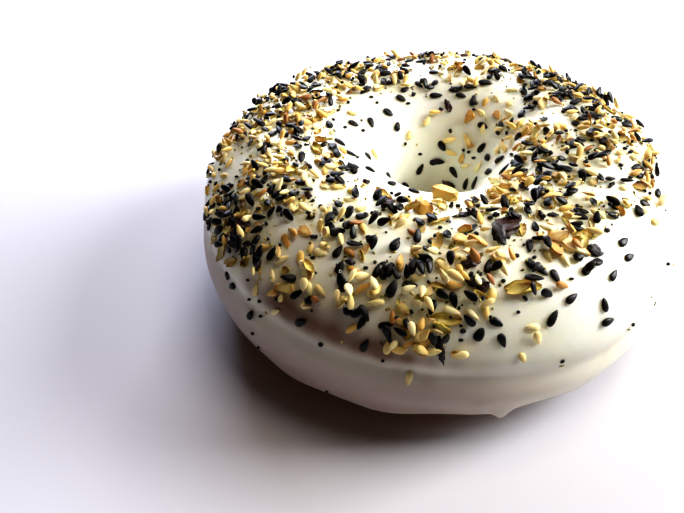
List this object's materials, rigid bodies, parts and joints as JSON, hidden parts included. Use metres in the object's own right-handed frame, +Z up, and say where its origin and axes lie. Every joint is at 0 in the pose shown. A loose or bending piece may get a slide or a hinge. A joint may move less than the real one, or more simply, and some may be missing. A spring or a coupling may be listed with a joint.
{
  "type": "doughnut",
  "caption": "Ring doughnut: a fried dough ring under a smooth white icing shell, its crown strewn with sesame seeds, poppy seeds and dried garlic and onion flakes.",
  "frame": {"origin": "under the middle of the ring, on the surface the doughnut lies on", "axes": "+Z up through the hole, out of the iced crown; -Y towards the side with the small drip of icing"},
  "size_m": [0.11, 0.1094, 0.0407],
  "materials": {
    "fried_dough": "matte",
    "white_icing": "satin",
    "toasted_sesame": "satin",
    "black_sesame": "satin",
    "poppy_seed": "matte",
    "dried_garlic": "matte",
    "dried_onion": "satin",
    "browned_onion": "matte",
    "coarse_salt": "gloss"
  },
  "bodies": {
    "root": {"dough": "fried_dough", "icing": "white_icing"}
  },
  "joints": []
}
